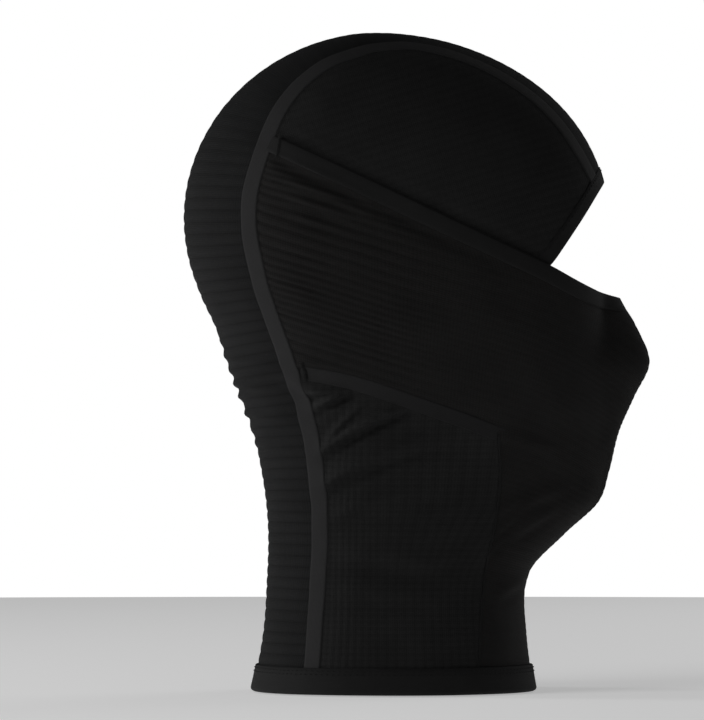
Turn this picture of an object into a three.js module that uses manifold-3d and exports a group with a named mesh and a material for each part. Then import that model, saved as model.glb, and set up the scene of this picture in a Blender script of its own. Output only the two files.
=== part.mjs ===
// A hinged balaclava: a close-fitting hood of stretch knit with a pull-down face mask.
//
// Frame, in millimetres: the origin is the middle of the line through the wearer's ears, +Z is up,
// the face looks along -Y, and the wearer's left is +X. Side-view outlines are written as
// [front, up], where front is the distance towards the face, which is -Y.
//
// All the cloth follows one head form. Each panel is a piece of a thin shell of that form, cut out
// along its seams. Tapes, bands and seam threads are pieces of thinner shells lying on the panels.

import * as THREE from 'three';
import { mergeVertices } from 'three/addons/utils/BufferGeometryUtils.js';
import Module from 'manifold-3d';

// ---- Driving dimensions ----

const CROWN_TOP = 123.5;          // height of the crown
const HEM = -175;                 // height of the neck hem's flat lower edge
const CRANIUM_BASE = 40;          // the cranium is a dome above this height
const CROWN_FRONT = -9;           // how far to the front the crown's highest point lies
const DOME_FRONT = 2.0;           // roundness of the dome's curve down to the forehead
const DOME_BACK = 1.95;           // roundness of its curve down to the back of the head
const DOME_SIDE = 2.4;            // roundness of its curve down to the sides
const BACK_ROUND = 2.2;           // roundness of the back half of each level section
const NOSE_TIP_RADIUS = 10;
const NOSE_SPREAD = 0.72;         // how fast the cloth widens behind the nose ridge
const NOSE_WIDEST = 0.72;         // the ridge's greatest width, as a share of the head's
const BLEND = 0.15;               // softness where the nose ridge meets the cheeks
const BLEND_LENGTH = 50;          // how far in front of the widest place that softness is full

const CLOTH = 1.6;                // thickness of a knit panel
const TAPE = 0.9;                 // thickness of a tape or band
const HEM_FOLD = 1.8;             // thickness of the folded neck hem
const LIFT = 0.3;                 // clearance between a panel and what lies on it
const SEAM_GAP = 0.4;             // clearance between neighbouring panels
const BAND = 8;                   // width of the mask top band and the brow band
const BAND_DROP = 1.1;            // a sloping band's height measured straight down, for its width
const JAW_TAPE = 7;               // width of the jaw tape
const HEM_DEPTH = 12;             // height of the neck hem band
const THREAD = 2.4;               // width of a chin seam
const TACK = 1.8;                 // width of a bar tack
const CROWN_TAPE_TOP = 4.2;       // apparent width of the crown tape on top, seen from the side
const CROWN_TAPE_SIDE = 6.4;      // and where it runs down the back of the head
const SWING_AXIS = [-42, -48];    // where the mask's front turns about, as [front, up]
const SWING_START = [0.2, 0.4, 0.6, 0.8, 1, 1.3, 1.6, 2, 2.5, 3, 3.6];  // degrees
const LABEL = { halfWidth: 14, low: -42, high: -18 };   // the care label inside the nape

const COLUMNS = 30;               // faces around the head form
const REACH = 220;                // half-size of a cutting solid, larger than the object
const FLOOR = -195;               // where the seam outlines end, below the hem

// The head form below the cranium. Each row is one level: its height, how far the face reaches to
// the front, how far the nose ridge stands out from that, how far the back reaches to the rear,
// half of the width, how far to the front the widest place lies, and the roundness of the front.
const LEVELS = [
  [-190, 66, 0.0, 68, 70, 0, 2.0],
  [-150, 60, 0.0, 60, 62, 0, 2.0],
  [-122, 61, 0.0, 58, 57, 0, 2.0],
  [-104, 77, 0.5, 57.5, 56, 0, 1.75],
  [-90, 91, 1.5, 58.5, 56, -1, 1.6],
  [-76, 95, 2.5, 60.5, 57, -2, 1.6],
  [-58, 97, 5.0, 64.5, 60, -3, 1.8],
  [-42, 98, 11.0, 70, 65, -5, 2.05],
  [-26, 97, 19.0, 76, 70, -7, 2.2],
  [-10, 95, 14.0, 81.5, 74.5, -9, 2.3],
  [5, 93.5, 6.5, 88.5, 76.5, -10, 2.3],
  [22, 94, 1.5, 94, 77.5, -11, 2.25],
  [40, 96.5, 0.0, 96, 77.5, -12, 2.2],
];

// Seam lines in the side view, the same on both sides.
const CROWN_SEAM = [
  [93.5, 46], [88.5, 58], [78, 76], [66, 90], [51, 101.5], [35, 109.6], [18, 114.7], [2, 116.4],
  [-16, 113.7], [-35, 105.6], [-51, 88.8], [-62, 62], [-66, 40], [-61, 10], [-52, -16], [-43, -42],
  [-37, -66], [-34, -100], [-36, -140], [-40, FLOOR],
];
const MASK_TOP = [[-51, 74], [70, 17], [82, 10.5], [94, 5], [105, 2], [150, 1]];
const BROW_EDGE = [[70, 17], [84, 38], [92, 51], [97, 58]];
const BROW_INNER = [[63.2, 19.4], [77.2, 42.2], [89, 65], [96, 67], [150, 68]];
const BROW_FRONT = [150, 60];
const BROW_ACROSS = [-0.85, 0.5];   // the direction in which the brow band is widened, inwards
const JAW_SEAM = [[-45, -29], [-20, -35], [2, -42], [25, -50], [46, -58]];
const JAW_TAPE_REAR = [-60, -25.5];
const CHIN_RIDGE = [[46, -58], [57, -61], [68, -65]];
const RIDGE_START = [46, -59.2];    // the ridge's seam line starts at the middle of the jaw tape's end
const CHIN_SEAM = [[46, -58], [47, -76], [45, -97], [39, -130], [36, FLOOR]];
const UPPER_TACK = [[-50, 73.4], [-51.5, 65]];
const LOWER_TACK = [[-41.5, -26.5], [-40.5, -33.5]];
// Where the mask's top edge and the jaw seam meet the crown seam.
const REAR_TOP = [-56.6, 76.8];
const JAW_REAR = [-47.3, -29.5];
// The part of the mask that swings lies in front of this line and above the lower split.
const FRONT_SPLIT = [[78, 14], [77, -20], [80, -46]];
const LOWER_SPLIT = [[80, -46], [100, -47], [150, -48]];

// ---- Head form ----

function smoothAt(rows, column, at) {
  const last = rows.length - 1;
  const clamped = Math.min(Math.max(at, rows[0][0]), rows[last][0]);
  let i = 0;
  while (i < last - 1 && clamped > rows[i + 1][0]) i += 1;
  const slope = (k) => {
    const a = rows[Math.max(k - 1, 0)];
    const b = rows[Math.min(k + 1, last)];
    return k === last ? 0 : (b[column] - a[column]) / (b[0] - a[0]);
  };
  const span = rows[i + 1][0] - rows[i][0];
  const t = (clamped - rows[i][0]) / span;
  const rise = t * t * (3 - 2 * t);
  const value = rows[i][column] * (1 - rise) + rows[i + 1][column] * rise;
  const tangents = slope(i) * t * (1 - t) ** 2 - slope(i + 1) * t * t * (1 - t);
  return value + span * tangents;
}

function levelAt(up) {
  const [face, nose, back, halfWidth, widest, round] = [1, 2, 3, 4, 5, 6].map(
    (column) => smoothAt(LEVELS, column, Math.min(up, CRANIUM_BASE)),
  );
  const rise = Math.min(Math.max((up - CRANIUM_BASE) / (CROWN_TOP - CRANIUM_BASE), 0), 1);
  const shrink = (power) => (1 - rise ** power) ** (1 / power);
  return {
    face: CROWN_FRONT + (face - CROWN_FRONT) * shrink(DOME_FRONT),
    nose,
    back: -CROWN_FRONT + (back + CROWN_FRONT) * shrink(DOME_BACK),
    halfWidth: halfWidth * shrink(DOME_SIDE),
    widest: CROWN_FRONT + (widest - CROWN_FRONT) * shrink(DOME_SIDE),
    round,
  };
}

// Half of the head form's width at one place of the side view.
function halfWidthAt(front, level) {
  const { face, nose, back, halfWidth, widest, round } = level;
  const oval = (part, power) => halfWidth * Math.max(1 - part ** power, 0) ** (1 / power);
  if (front <= widest) return oval(Math.min((widest - front) / (widest + back), 1), BACK_ROUND);
  const cheek = oval(Math.min((front - widest) / (face - widest), 1), round);
  const depth = Math.max(face + nose - front, 0);
  const spread = Math.hypot(Math.sqrt(2 * NOSE_TIP_RADIUS * depth), NOSE_SPREAD * depth);
  const ridge = Math.min(spread, NOSE_WIDEST * halfWidth);
  const fade = Math.min(nose / 4, 1);
  const blend = BLEND * Math.min((front - widest) / BLEND_LENGTH, 1);
  const both = (cheek + ridge + Math.hypot(cheek - ridge, blend * Math.sqrt(cheek * ridge))) / 2;
  return cheek * (1 - fade) + both * fade;
}

const DOME_RINGS = 8;
const TOP_RING = 7.7;             // the highest ring's place, in ring steps above the cranium's base
const RING_HEIGHTS = [
  ...Array.from({ length: DOME_RINGS }, (_, i) => {
    const angle = ((TOP_RING - i) / DOME_RINGS) * (Math.PI / 2);
    return CRANIUM_BASE + (CROWN_TOP - CRANIUM_BASE) * Math.sin(angle);
  }),
  28, 16, 5, -6, -15, -23, -31, -40, -50, -62, -75, -87, -97, -107, -118, -134, -156, -181, -190,
];

// The closed head form: a sphere whose rings are laid on the levels, moved outwards along its
// normals by the given distance.
function headForm(outwards) {
  const rings = RING_HEIGHTS.length + 1;
  const geometry = new THREE.SphereGeometry(1, COLUMNS, rings);
  const { position, uv } = geometry.attributes;
  for (let i = 0; i < position.count; i += 1) {
    const ring = Math.round((1 - uv.getY(i)) * rings);
    const isPole = ring === 0 || ring === rings;
    const up = ring === 0 ? CROWN_TOP : RING_HEIGHTS[Math.min(ring, rings - 1) - 1];
    const level = levelAt(up);
    const column = Math.round(uv.getX(i) * COLUMNS) % COLUMNS;
    const angle = (-column / COLUMNS) * 2 * Math.PI;
    const reach = Math.sin(angle);
    const { face, nose, back, widest } = level;
    const front = widest + reach * (reach > 0 ? face + nose - widest : back + widest);
    const side = isPole ? 0 : Math.sign(Math.cos(angle)) * halfWidthAt(front, level);
    position.setXYZ(i, side, isPole ? -CROWN_FRONT : -front, up);
  }
  geometry.deleteAttribute('uv');
  geometry.deleteAttribute('normal');
  const merged = mergeVertices(geometry, 0.001);
  merged.computeVertexNormals();
  const { position: place, normal } = merged.attributes;
  for (let i = 0; i < place.count; i += 1) {
    place.setXYZ(
      i,
      place.getX(i) + normal.getX(i) * outwards,
      place.getY(i) + normal.getY(i) * outwards,
      place.getZ(i) + normal.getZ(i) * outwards,
    );
  }
  return merged;
}

// ---- Solids ----

const wasm = await Module();
wasm.setup();

function solidOf(geometry) {
  const bare = geometry.clone();
  bare.deleteAttribute('normal');
  bare.deleteAttribute('uv');
  const merged = mergeVertices(bare, 1e-4);
  return new wasm.Manifold(new wasm.Mesh({
    numProp: 3,
    vertProperties: new Float32Array(merged.attributes.position.array),
    triVerts: new Uint32Array(merged.index.array),
  }));
}

function shell(inner, outer) {
  return solidOf(headForm(outer)).subtract(solidOf(headForm(inner)));
}

// A solid with the given side-view outline, from one distance to the side to another.
function sidePrism(outline, from = -REACH, to = REACH) {
  const shape = new THREE.Shape(outline.map(([front, up]) => new THREE.Vector2(front, up)));
  const geometry = new THREE.ExtrudeGeometry(shape, { depth: to - from, bevelEnabled: false });
  geometry.applyMatrix4(new THREE.Matrix4().makeBasis(
    new THREE.Vector3(0, -1, 0),
    new THREE.Vector3(0, 0, 1),
    new THREE.Vector3(-1, 0, 0),
  ));
  geometry.translate(to, 0, 0);
  return solidOf(geometry);
}

function curveThrough(points, pieces) {
  const curve = new THREE.SplineCurve(points.map(([front, up]) => new THREE.Vector2(front, up)));
  return curve.getSpacedPoints(pieces).map((point) => [point.x, point.y]);
}

// The outline of a strip that follows a line. Its width may depend on the line's direction.
function strip(line, widthAt) {
  const sides = [[], []];
  line.forEach(([front, up], i) => {
    const before = line[Math.max(i - 1, 0)];
    const after = line[Math.min(i + 1, line.length - 1)];
    const along = new THREE.Vector2(after[0] - before[0], after[1] - before[1]).normalize();
    const half = widthAt(along) / 2;
    sides[0].push([front - along.y * half, up + along.x * half]);
    sides[1].unshift([front + along.y * half, up - along.x * half]);
  });
  return [...sides[0], ...sides[1]];
}

const crownLine = curveThrough(CROWN_SEAM, 30);
const browLine = [...curveThrough(BROW_EDGE, 5), BROW_FRONT];
const jawLine = curveThrough(JAW_SEAM, 5);
const chinLine = curveThrough(CHIN_SEAM, 6);
const maskRearTop = MASK_TOP.slice(0, 2);
const backwards = (line) => [...line].reverse();
const isRear = ([front, up]) => front < 0 && up < REAR_TOP[1];
const crownAboveMask = crownLine.filter((point) => !isRear(point));
const crownAboveJaw = crownLine.filter((point) => isRear(point) && point[1] > JAW_REAR[1]);
const crownBelowJaw = crownLine.filter(([, up]) => up < JAW_REAR[1]);

// ---- Panel regions in the side view ----

const goreRegion = [...crownLine, [-REACH, FLOOR], [-REACH, REACH], [150, REACH], BROW_FRONT];
const templeRegion = [...crownAboveMask, REAR_TOP, ...maskRearTop];
const cheekRegion = [
  REAR_TOP, ...crownAboveJaw, JAW_REAR, ...jawLine.slice(1), ...CHIN_RIDGE.slice(1),
  ...backwards(FRONT_SPLIT), ...backwards(maskRearTop),
];
const neckRegion = [
  ...backwards(chinLine), ...backwards(jawLine).slice(1, -1), JAW_REAR, ...crownBelowJaw,
];
const chinRegion = [
  ...chinLine, [150, FLOOR], ...backwards(LOWER_SPLIT), ...backwards(CHIN_RIDGE.slice(1)),
];
const frontRegion = [
  ...FRONT_SPLIT, ...LOWER_SPLIT.slice(1), [150, 1], ...backwards(MASK_TOP.slice(2, 5)),
];

// ---- Cutting solids ----

const slotAlong = (line) => sidePrism(strip(line, () => SEAM_GAP));
const frontSlot = slotAlong(FRONT_SPLIT);
const slots = [
  ...[crownLine, maskRearTop, jawLine, CHIN_RIDGE, chinLine, LOWER_SPLIT].map(slotAlong),
  frontSlot,
];
const belowHem = sidePrism([[-REACH, HEM], [-REACH, -REACH], [REACH, -REACH], [REACH, HEM]]);
const crownStrip = (extra) => {
  const widthAt = (along) => (
    CROWN_TAPE_TOP + (CROWN_TAPE_SIDE - CROWN_TAPE_TOP) * Math.abs(along.y) + extra
  );
  return sidePrism(strip(crownLine.slice(1), widthAt));
};
const browStrip = (extra) => {
  const [forward, upward] = BROW_ACROSS;
  const innerLine = BROW_INNER.map(([front, up]) => [front + forward * extra, up + upward * extra]);
  return sidePrism([...browLine, ...backwards(innerLine)]);
};
const hemStrip = (extra) => {
  const top = HEM + HEM_DEPTH + extra;
  return sidePrism([[-REACH, top], [-REACH, HEM], [REACH, HEM], [REACH, top]]);
};
const maskTopStrip = (inset) => {
  const down = (offset) => ([front, up]) => [front, up - offset];
  return sidePrism([
    ...MASK_TOP.map(down(inset)),
    ...backwards(MASK_TOP.map(down(BAND * BAND_DROP - inset))),
  ]);
};
const jawStrip = (extra) => {
  const line = [JAW_TAPE_REAR, ...jawLine.slice(1)];
  return sidePrism(strip(line, () => JAW_TAPE + extra));
};
const behindCrown = sidePrism(goreRegion);
const eyeOpening = sidePrism([...browLine, ...backwards(MASK_TOP.slice(2))]);
const frontOnly = sidePrism(frontRegion);
const rearOfFront = sidePrism([
  [-REACH, REACH], [-REACH, -REACH], ...backwards(FRONT_SPLIT), [FRONT_SPLIT[0][0], REACH],
]);

const panelShell = shell(-CLOTH, 0);
const tapeShell = shell(LIFT, LIFT + TAPE);
const hemShell = shell(LIFT, LIFT + HEM_FOLD);
const tackShell = shell(2 * LIFT + TAPE, 2 * LIFT + 2 * TAPE);
const liningShell = shell(-CLOTH - LIFT - TAPE, -CLOTH - LIFT);

function geometryOf(solid) {
  const { vertProperties, triVerts } = solid.getMesh();
  const geometry = new THREE.BufferGeometry();
  geometry.setAttribute('position', new THREE.BufferAttribute(new Float32Array(vertProperties), 3));
  geometry.setIndex(new THREE.BufferAttribute(new Uint32Array(triVerts), 1));
  return geometry;
}

function swung(geometry, degrees) {
  const [front, up] = SWING_AXIS;
  const turned = geometry.clone().translate(0, front, -up);
  return solidOf(turned.rotateX(THREE.MathUtils.degToRad(degrees)).translate(0, -front, up));
}

function cut(from, region, without = []) {
  return without.reduce((solid, tool) => solid.subtract(tool), from.intersect(region));
}

function halfSpace(side) {
  const box = [[-REACH, -REACH], [REACH, -REACH], [REACH, REACH], [-REACH, REACH]];
  return side > 0 ? sidePrism(box, 0, REACH) : sidePrism(box, -REACH, 0);
}

// ---- Scene ----

const finishes = {
  gore: { color: 0x1b1c1a, roughness: 0.92 },
  temple: { color: 0x121212, roughness: 0.95 },
  mask: { color: 0x161615, roughness: 0.9 },
  neck: { color: 0x171615, roughness: 0.92 },
  tape: { color: 0x232123, roughness: 0.75 },
  band: { color: 0x171718, roughness: 0.8 },
  elastic: { color: 0x101011, roughness: 0.85 },
  thread: { color: 0x0c0c0d, roughness: 0.6 },
  label: { color: 0x2b2b2d, roughness: 0.55 },
};

const balaclava = new THREE.Group();

function add(name, finish, solid) {
  const geometry = geometryOf(solid);
  const material = new THREE.MeshStandardMaterial({ ...finishes[finish], metalness: 0 });
  const mesh = new THREE.Mesh(geometry, material);
  mesh.name = name;
  balaclava.add(mesh);
}

const panelCuts = [...slots, belowHem];
add('centre_gore_panel', 'gore', cut(panelShell, behindCrown, [eyeOpening, ...panelCuts]));
add('mask_front_panel', 'mask', cut(panelShell, frontOnly, panelCuts));
// The chin panel's upper edge is cut back by what the mask's front sweeps as it starts to swing.
const sweepShape = geometryOf(cut(panelShell, frontOnly));
const sweep = SWING_START.map((degrees) => swung(sweepShape, degrees));
add('chin_panel', 'mask', cut(panelShell, sidePrism(chinRegion), [...panelCuts, ...sweep]));
add('brow_band', 'band', cut(tapeShell, browStrip(0), [maskTopStrip(-LIFT)]));
add('neck_hem_band', 'band', cut(hemShell, hemStrip(0)));

const bandRegion = maskTopStrip(0);
const elasticRegion = maskTopStrip(1);
add('mask_top_band_front', 'band', cut(tapeShell, bandRegion.intersect(frontOnly), [frontSlot]));
add('mask_top_elastic_front', 'elastic',
  cut(liningShell, elasticRegion.intersect(frontOnly), [frontSlot]));

for (const [sideName, side] of [['left', 1], ['right', -1]]) {
  const half = halfSpace(side);
  const addSide = (name, finish, from, region, without) => {
    add(`${sideName}_${name}`, finish, cut(from.intersect(half), region, without));
  };
  addSide('temple_panel', 'temple', panelShell, sidePrism(templeRegion), [eyeOpening, ...panelCuts]);
  addSide('cheek_panel', 'mask', panelShell, sidePrism(cheekRegion), panelCuts);
  addSide('neck_panel', 'neck', panelShell, sidePrism(neckRegion), panelCuts);

  const hemCuts = [hemStrip(LIFT), belowHem];
  addSide('crown_seam_tape', 'tape', tapeShell, crownStrip(0),
    [eyeOpening, browStrip(LIFT), ...hemCuts]);
  addSide('jaw_seam_tape', 'tape', tapeShell, jawStrip(0), [crownStrip(2 * LIFT), behindCrown]);

  const bandCuts = [crownStrip(2 * LIFT), frontSlot];
  addSide('mask_top_band', 'band', tapeShell, bandRegion.intersect(rearOfFront), bandCuts);
  addSide('mask_top_elastic', 'elastic', liningShell, elasticRegion.intersect(rearOfFront), bandCuts);

  addSide('upper_bar_tack', 'thread', tackShell, sidePrism(strip(UPPER_TACK, () => TACK)));
  addSide('lower_bar_tack', 'thread', tackShell, sidePrism(strip(LOWER_TACK, () => TACK)));

  const ridgeLine = [RIDGE_START, ...CHIN_RIDGE.slice(1)];
  const ridgeAndSeam = sidePrism(strip(chinLine, () => THREAD))
    .add(sidePrism(strip(ridgeLine, () => THREAD)));
  addSide('chin_seam', 'thread', tapeShell, ridgeAndSeam, [jawStrip(2 * LIFT), ...hemCuts]);
}

const { halfWidth, low, high } = LABEL;
const labelOutline = [[-REACH, low], [0, low], [0, high], [-REACH, high]];
add('care_label', 'label', cut(liningShell, sidePrism(labelOutline, -halfWidth, halfWidth)));

export default balaclava;
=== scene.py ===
import math

import bpy
import numpy as np
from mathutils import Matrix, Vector
from mathutils.bvhtree import BVHTree


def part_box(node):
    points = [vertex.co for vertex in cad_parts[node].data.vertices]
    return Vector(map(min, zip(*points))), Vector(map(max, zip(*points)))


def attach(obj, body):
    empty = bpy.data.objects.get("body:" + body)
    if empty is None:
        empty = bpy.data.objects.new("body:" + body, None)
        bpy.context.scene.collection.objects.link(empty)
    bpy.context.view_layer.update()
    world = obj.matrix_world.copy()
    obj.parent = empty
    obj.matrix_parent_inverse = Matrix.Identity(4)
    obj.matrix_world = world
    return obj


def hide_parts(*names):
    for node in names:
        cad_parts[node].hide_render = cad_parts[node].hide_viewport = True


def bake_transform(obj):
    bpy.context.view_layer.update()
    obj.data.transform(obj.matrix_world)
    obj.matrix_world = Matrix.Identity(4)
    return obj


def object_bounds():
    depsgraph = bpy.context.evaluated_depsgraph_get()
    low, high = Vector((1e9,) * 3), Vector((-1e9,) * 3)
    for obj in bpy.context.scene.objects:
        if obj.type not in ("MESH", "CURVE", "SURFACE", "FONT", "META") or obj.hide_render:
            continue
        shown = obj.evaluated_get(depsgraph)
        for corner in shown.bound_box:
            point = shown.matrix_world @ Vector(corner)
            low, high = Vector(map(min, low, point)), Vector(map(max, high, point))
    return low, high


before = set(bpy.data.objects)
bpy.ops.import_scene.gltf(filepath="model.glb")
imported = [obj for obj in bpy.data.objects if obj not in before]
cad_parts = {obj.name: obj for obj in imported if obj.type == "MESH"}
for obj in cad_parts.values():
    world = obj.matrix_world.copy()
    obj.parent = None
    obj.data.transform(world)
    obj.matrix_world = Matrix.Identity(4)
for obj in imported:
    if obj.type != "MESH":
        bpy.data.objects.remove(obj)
cad_box = [list(map(float, corner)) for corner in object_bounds()]

# A hinged balaclava: a hood of stretch knit with a face mask that pulls down below the chin.
# Shapes are worked out in millimetres, as (front, up) places in the side view and a distance to
# the side, and are turned into metres with the frame's own height. The face looks along -Y.

CROWN_TOP = 123.5
HEM = -175.0
UNIT = (cad_box[1][2] - cad_box[0][2]) / (CROWN_TOP - HEM)   # metres in one design millimetre

# ---- Head form, as in the CAD model ----

CRANIUM_BASE = 40.0
CROWN_FRONT = -9.0
DOME_FRONT = 2.0
DOME_BACK = 1.95
DOME_SIDE = 2.4
BACK_ROUND = 2.2
NOSE_TIP_RADIUS = 10.0
NOSE_SPREAD = 0.72
NOSE_WIDEST = 0.72
RIDGE_BLEND = 0.15     # how softly the nose runs into the cheek, over the first BLEND_LENGTH of it
BLEND_LENGTH = 50.0

# Height, face, nose, back, half width, widest place, roundness of the front.
LEVELS = np.array([
    [-190, 66, 0.0, 68, 70, 0, 2.0],
    [-150, 60, 0.0, 60, 62, 0, 2.0],
    [-122, 61, 0.0, 58, 57, 0, 2.0],
    [-104, 77, 0.5, 57.5, 56, 0, 1.75],
    [-90, 91, 1.5, 58.5, 56, -1, 1.6],
    [-76, 95, 2.5, 60.5, 57, -2, 1.6],
    [-58, 97, 5.0, 64.5, 60, -3, 1.8],
    [-42, 98, 11.0, 70, 65, -5, 2.05],
    [-26, 97, 19.0, 76, 70, -7, 2.2],
    [-10, 95, 14.0, 81.5, 74.5, -9, 2.3],
    [5, 93.5, 6.5, 88.5, 76.5, -10, 2.3],
    [22, 94, 1.5, 94, 77.5, -11, 2.25],
    [40, 96.5, 0.0, 96, 77.5, -12, 2.2],
], float)

# Seam lines in the side view, the same on both sides.
CROWN_SEAM = [
    (93.5, 46), (88.5, 58), (78, 76), (66, 90), (51, 101.5), (35, 109.6), (18, 114.7), (2, 116.4),
    (-16, 113.7), (-35, 105.6), (-51, 88.8), (-62, 62), (-66, 40), (-61, 10), (-52, -16), (-43, -42),
    (-37, -66), (-34, -100), (-36, -140), (-40, -195),
]
MASK_TOP = [(-56.6, 76.8), (70, 17), (82, 10.5), (94, 5), (105, 2), (150, 1)]
BROW_EDGE = [(70, 17), (84, 38), (92, 51), (97, 58)]
JAW_SEAM = [(-47.3, -29.5), (-20, -35), (2, -42), (25, -50), (46, -58)]
CHIN_RIDGE = [(46, -58), (57, -61), (68, -65)]
CHIN_SEAM = [(46, -58), (47, -76), (45, -97), (39, -130), (36, -195)]

CLOTH = 1.3            # thickness of the knit
TAPE_WIDTH = 8.8       # the crown tape's
JAW_TAPE_WIDTH = 7.0
BAND_WIDTH = 8.0       # the mask's top band and the brow binding
HEM_DEPTH = 12.0
PANEL_END = HEM + 1.2  # the panels end inside the folded hem
STITCH, STITCH_GAP = 2.0, 0.9
THREAD_RADIUS = 0.17


def ease(value, low, high):
    """0 up to low and 1 from high on, with a smooth rise between."""
    t = np.clip((value - low) / (high - low), 0, 1)
    return t * t * (3 - 2 * t)


def smooth_levels(up):
    """The head form's level values at each height, on a curve through the rows of LEVELS."""
    heights = LEVELS[:, 0]
    at = np.clip(up, heights[0], heights[-1])
    i = np.clip(np.searchsorted(heights, at, side="left") - 1, 0, len(heights) - 2)
    slopes = np.zeros_like(LEVELS[:, 1:])
    slopes[1:-1] = (LEVELS[2:, 1:] - LEVELS[:-2, 1:]) / (heights[2:] - heights[:-2])[:, None]
    slopes[0] = (LEVELS[1, 1:] - LEVELS[0, 1:]) / (heights[1] - heights[0])
    span = (heights[i + 1] - heights[i])[..., None]
    t = (at - heights[i])[..., None] / span
    rise = t * t * (3 - 2 * t)
    tangents = slopes[i] * t * (1 - t) ** 2 - slopes[i + 1] * t * t * (1 - t)
    return LEVELS[i, 1:] * (1 - rise) + LEVELS[i + 1, 1:] * rise + span * tangents


def level_at(up):
    """Face, nose, back, half width, widest place and roundness at each height, dome included."""
    values = smooth_levels(np.minimum(up, CRANIUM_BASE))
    face, nose, back, half, widest, round_ = np.moveaxis(values, -1, 0)
    rise = np.clip((up - CRANIUM_BASE) / (CROWN_TOP - CRANIUM_BASE), 0, 1)

    def shrink(power):
        return (1 - rise**power) ** (1 / power)

    return (
        CROWN_FRONT + (face - CROWN_FRONT) * shrink(DOME_FRONT),
        nose,
        -CROWN_FRONT + (back + CROWN_FRONT) * shrink(DOME_BACK),
        half * shrink(DOME_SIDE),
        CROWN_FRONT + (widest - CROWN_FRONT) * shrink(DOME_SIDE),
        round_,
    )


def half_width(front, up):
    """Half of the head form's width at each place of the side view."""
    face, nose, back, half, widest, round_ = level_at(up)

    def oval(part, power):
        return half * np.maximum(1 - np.clip(part, 0, 1) ** power, 0) ** (1 / power)

    behind = oval((widest - front) / np.maximum(widest + back, 1e-6), BACK_ROUND)
    cheek = oval((front - widest) / np.maximum(face - widest, 1e-6), round_)
    depth = np.maximum(face + nose - front, 0)
    ridge = np.hypot(np.sqrt(2 * NOSE_TIP_RADIUS * depth), NOSE_SPREAD * depth)
    ridge = np.minimum(ridge, NOSE_WIDEST * half)
    blend = RIDGE_BLEND * np.clip((front - widest) / BLEND_LENGTH, 0, 1)
    both = (cheek + ridge + np.hypot(cheek - ridge, blend * np.sqrt(cheek * ridge))) / 2
    fade = np.clip(nose / 4, 0, 1)
    return np.where(front <= widest, behind, cheek * (1 - fade) + both * fade)


def reach_front(up):
    face, nose, *_ = level_at(up)
    return face + nose


def reach_back(up):
    return -level_at(up)[2]


# ---- Lines in the side view ----

def curve_through(points, step):
    """A smooth line through the points, with its own points about step apart."""
    p = np.array(points, float)
    p = np.vstack([2 * p[0] - p[1], p, 2 * p[-1] - p[-2]])
    out = []
    t = np.linspace(0, 1, 40, endpoint=False)[:, None]
    for a, b, c, d in zip(p[:-3], p[1:-2], p[2:-1], p[3:]):
        out.append(0.5 * (2 * b + (c - a) * t + (2 * a - 5 * b + 4 * c - d) * t**2
                          + (3 * b - a - 3 * c + d) * t**3))
    return resampled(np.vstack(out + [p[-2:-1]]), step)


def distance_along(line):
    """How far along a line of points each of them is."""
    return np.concatenate([[0], np.cumsum(np.linalg.norm(np.diff(line, axis=0), axis=1))])


def resampled(line, step):
    along = distance_along(line)
    at = np.linspace(0, along[-1], max(2, int(round(along[-1] / step)) + 1))
    return np.stack([np.interp(at, along, line[:, k]) for k in range(line.shape[1])], axis=1)


def smoothed(points, window, closed=False):
    """A running mean along the first axis."""
    half = window // 2
    mode = "wrap" if closed else "edge"
    padded = np.pad(points, [(half, half)] + [(0, 0)] * (points.ndim - 1), mode=mode)
    return np.mean([padded[i:i + len(points)] for i in range(window)], axis=0)


def from_line(front, up, line):
    """Each place's distance from a line, positive on the left of its direction, and how far along."""
    best = np.full(front.shape, 1e9)
    signed = np.zeros(front.shape)
    along = np.zeros(front.shape)
    start = 0.0
    for (ax, ay), (bx, by) in zip(line[:-1], line[1:]):
        dx, dy = bx - ax, by - ay
        length = math.hypot(dx, dy)
        t = np.clip(((front - ax) * dx + (up - ay) * dy) / length**2, 0, 1)
        away = np.hypot(front - ax - t * dx, up - ay - t * dy)
        nearer = away < best
        side = np.where((up - ay) * dx - (front - ax) * dy >= 0, 1.0, -1.0)
        best = np.where(nearer, away, best)
        signed = np.where(nearer, away * side, signed)
        along = np.where(nearer, start + t * length, along)
        start += length
    return signed, along


def inside_by(front, up, outline):
    """How far inside a closed outline each place is, negative outside."""
    best = np.full(front.shape, 1e9)
    inside = np.zeros(front.shape, bool)
    for (ax, ay), (bx, by) in zip(outline, np.roll(outline, -1, axis=0)):
        dx, dy = bx - ax, by - ay
        t = np.clip(((front - ax) * dx + (up - ay) * dy) / max(dx * dx + dy * dy, 1e-9), 0, 1)
        best = np.minimum(best, np.hypot(front - ax - t * dx, up - ay - t * dy))
        if ay != by:
            crosses = (ay > up) != (by > up)
            inside ^= crosses & (front < ax + (up - ay) * dx / dy)
    return np.where(inside, best, -best)


crown_line = curve_through(CROWN_SEAM, 3)
brow_line = curve_through(BROW_EDGE, 2)
jaw_line = curve_through(JAW_SEAM, 3)
ridge_line = curve_through(CHIN_RIDGE, 3)
chin_line = curve_through(CHIN_SEAM, 3)
top_line = np.vstack([curve_through(MASK_TOP[:2], 3), curve_through(MASK_TOP[1:5], 2)[1:], MASK_TOP[5:]])
rear_top = np.array(MASK_TOP[0])
jaw_rear = np.array(JAW_SEAM[0])

is_behind = (crown_line[:, 0] < 0) & (crown_line[:, 1] < rear_top[1])
crown_over_mask = crown_line[~is_behind]
crown_by_cheek = crown_line[is_behind & (crown_line[:, 1] > jaw_rear[1])]
crown_by_neck = crown_line[crown_line[:, 1] < jaw_rear[1]]

EYE_OUTLINE = np.vstack([brow_line, [(150, 60)], top_line[top_line[:, 0] > 71][::-1]])

# ---- Folds of the worn cloth ----

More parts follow.
